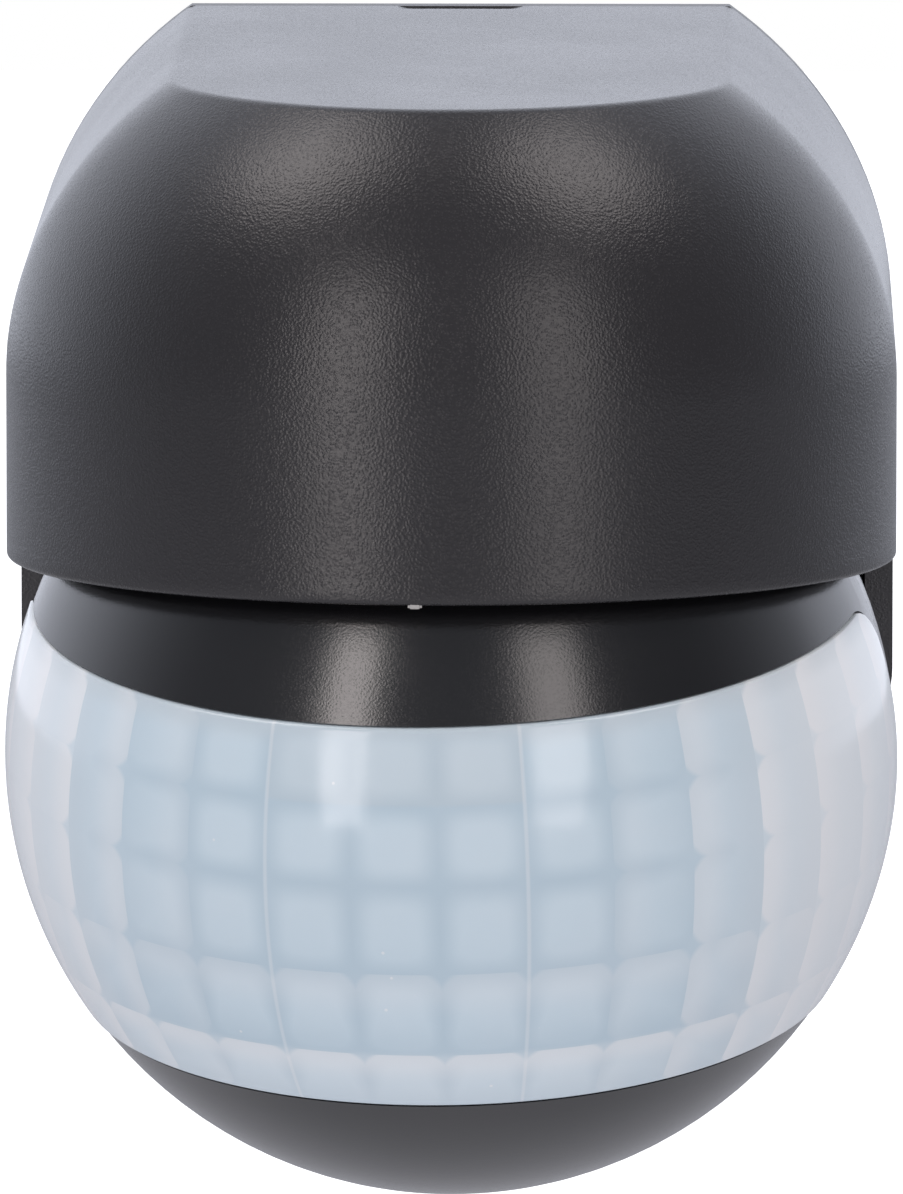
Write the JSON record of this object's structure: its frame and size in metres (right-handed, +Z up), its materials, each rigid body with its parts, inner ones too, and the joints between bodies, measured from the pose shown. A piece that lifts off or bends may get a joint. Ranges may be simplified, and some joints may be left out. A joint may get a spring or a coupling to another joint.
{
  "type": "wall motion sensor",
  "caption": "Outdoor wall motion sensor: ball-shaped head with a wide faceted lens, hanging in an arched hood and swivelling to left, right and down.",
  "frame": {"origin": "on the wall face of the base, midway between the two wall fixing holes", "axes": "+Z up along the wall, +Y into the wall, so the sensor stands out along -Y and +X is to the right of someone facing it"},
  "size_m": [0.0723, 0.0762, 0.0936],
  "materials": {
    "housing_black": "fine spark-eroded satin",
    "base_black": "satin",
    "lens_milk": "translucent milky polyethylene, faceted inside",
    "foam_grey": "closed-cell foam",
    "grommet_rubber": "soft rubber",
    "terminal_plastic": "plain",
    "clamp_brass": "plain",
    "screw_zinc": "zinc plated",
    "washer_steel": "plain",
    "bracket_nylon": "glass-filled nylon",
    "board_green": "solder mask",
    "relay_blue": "plain",
    "film_yellow": "plain",
    "can_sleeve": "shrink sleeve",
    "holder_white": "plain",
    "sensor_can": "nickel plated",
    "filter_dark": "polished filter",
    "cell_clear": "resin",
    "lamp_red": "tinted resin",
    "knob_grey": "plain",
    "trimmer_case": "plain"
  },
  "bodies": {
    "wall_base_set": {"wall_base": "base_black", "hood": "housing_black", "wall_gasket": "foam_grey", "cable_grommet": "grommet_rubber", "terminal_block": "terminal_plastic", "terminal_clamps": "clamp_brass", "terminal_screws": "screw_zinc", "swivel_bracket": "bracket_nylon", "bracket_screws": "screw_zinc", "hood_screws": "screw_zinc"},
    "swivel": {"swivel_yoke": "bracket_nylon", "swivel_washer": "washer_steel", "swivel_nut": "bracket_nylon"},
    "head": {"lens": "lens_milk", "head_front_shell": "housing_black", "head_rear_shell": "housing_black", "tilt_pin": "washer_steel", "tilt_washers": "washer_steel", "case_screws": "screw_zinc", "power_board": "board_green", "sensor_board": "board_green", "board_spacers": "holder_white", "board_screws": "screw_zinc", "relay": "relay_blue", "film_capacitor": "film_yellow", "electrolytic_capacitor": "can_sleeve", "sensor_holder": "holder_white", "pir_sensor": "sensor_can", "pir_window": "filter_dark", "photocell": "cell_clear", "status_lamp": "lamp_red", "control_board": "board_green", "trimmers": "trimmer_case"},
    "time_knob": {"time_knob": "knob_grey"},
    "light_knob": {"light_knob": "knob_grey"},
    "range_knob": {"range_knob": "knob_grey"}
  },
  "joints": [
    {"name": "pan", "type": "hinge", "parent": "wall_base_set", "child": "swivel", "pos_m": [0, -0.04, -0.029], "axis": [0, 0, 1], "range_deg": [-33.8, 46.2]},
    {"name": "tilt", "type": "hinge", "parent": "swivel", "child": "head", "pos_m": [0, -0.04, -0.029], "axis": [0.9942, -0.108, 0], "range_deg": [-11.5, 8.5]},
    {"name": "time_setting", "type": "hinge", "parent": "head", "child": "time_knob", "pos_m": [-0.00566, -0.01341, -0.04954], "axis": [0.0845, 0.778, -0.6225], "range_deg": [-135, 135]},
    {"name": "light_setting", "type": "hinge", "parent": "head", "child": "light_knob", "pos_m": [0.00279, -0.01432, -0.04954], "axis": [0.0845, 0.778, -0.6225], "range_deg": [-135, 135]},
    {"name": "range_setting", "type": "hinge", "parent": "head", "child": "range_knob", "pos_m": [0.01124, -0.01524, -0.04954], "axis": [0.0845, 0.778, -0.6225], "range_deg": [-135, 135]}
  ]
}
